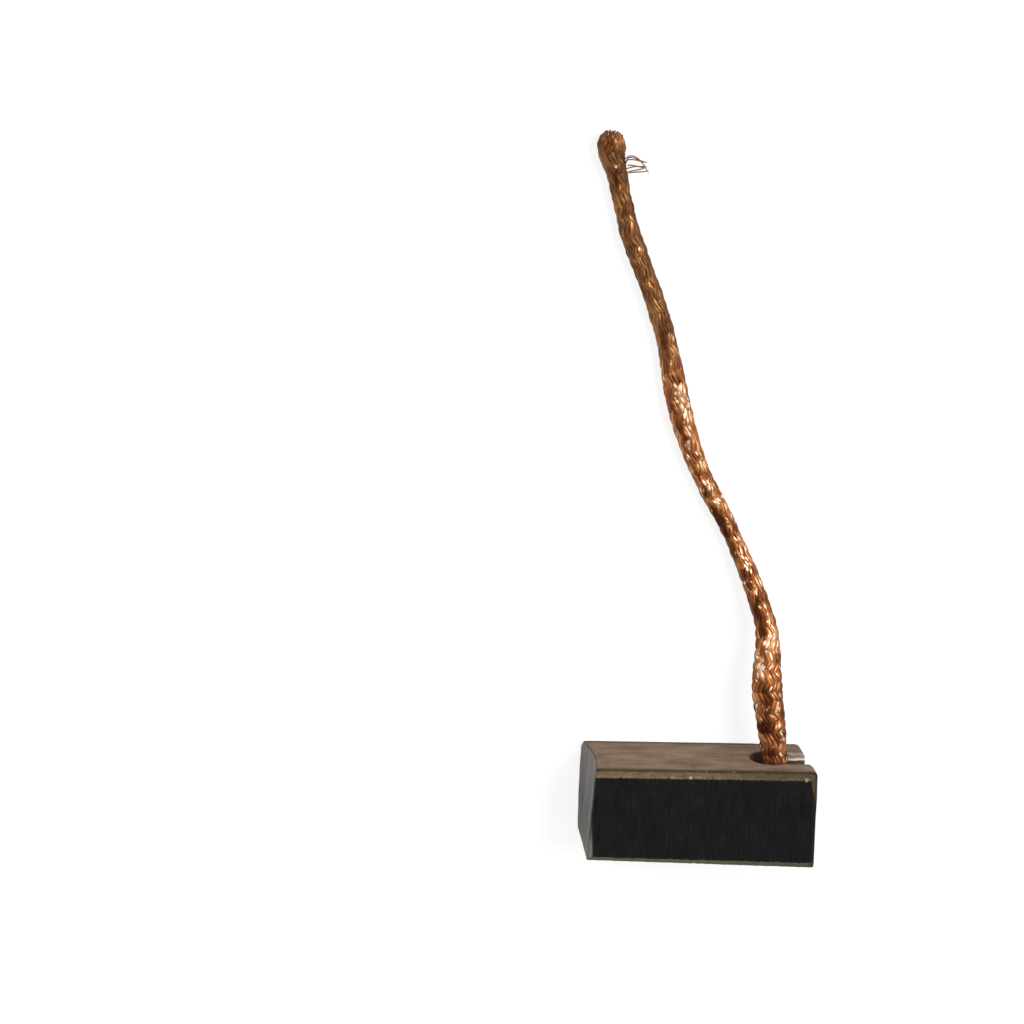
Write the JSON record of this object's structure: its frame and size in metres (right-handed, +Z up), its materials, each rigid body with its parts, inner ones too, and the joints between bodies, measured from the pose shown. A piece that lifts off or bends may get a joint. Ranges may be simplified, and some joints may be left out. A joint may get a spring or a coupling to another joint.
{
  "type": "carbon brush",
  "caption": "Square carbon brush block with a worn hollow contact end, a slotted blind hole and a braided copper pigtail lying loose from it.",
  "frame": {"origin": "under the middle of the block, on the surface that its large face lies on", "axes": "+X along the block from the worn contact end to the rear end, +Y to the side that the pigtail leaves, +Z up through the block's thickness"},
  "size_m": [0.0253, 0.0742, 0.01],
  "materials": {
    "carbon": "pressed copper-bearing carbon: black on the two large faces, brown where it is ground, dull grey on the worn end",
    "tamped_copper": "dull granular copper powder, tamped hard",
    "copper_braid": "bare plaited copper strands, bright near the block and browner towards the cut end"
  },
  "bodies": {
    "root": {"carbon_block": "carbon", "tamped_powder": "tamped_copper", "pigtail": "copper_braid"}
  },
  "joints": []
}
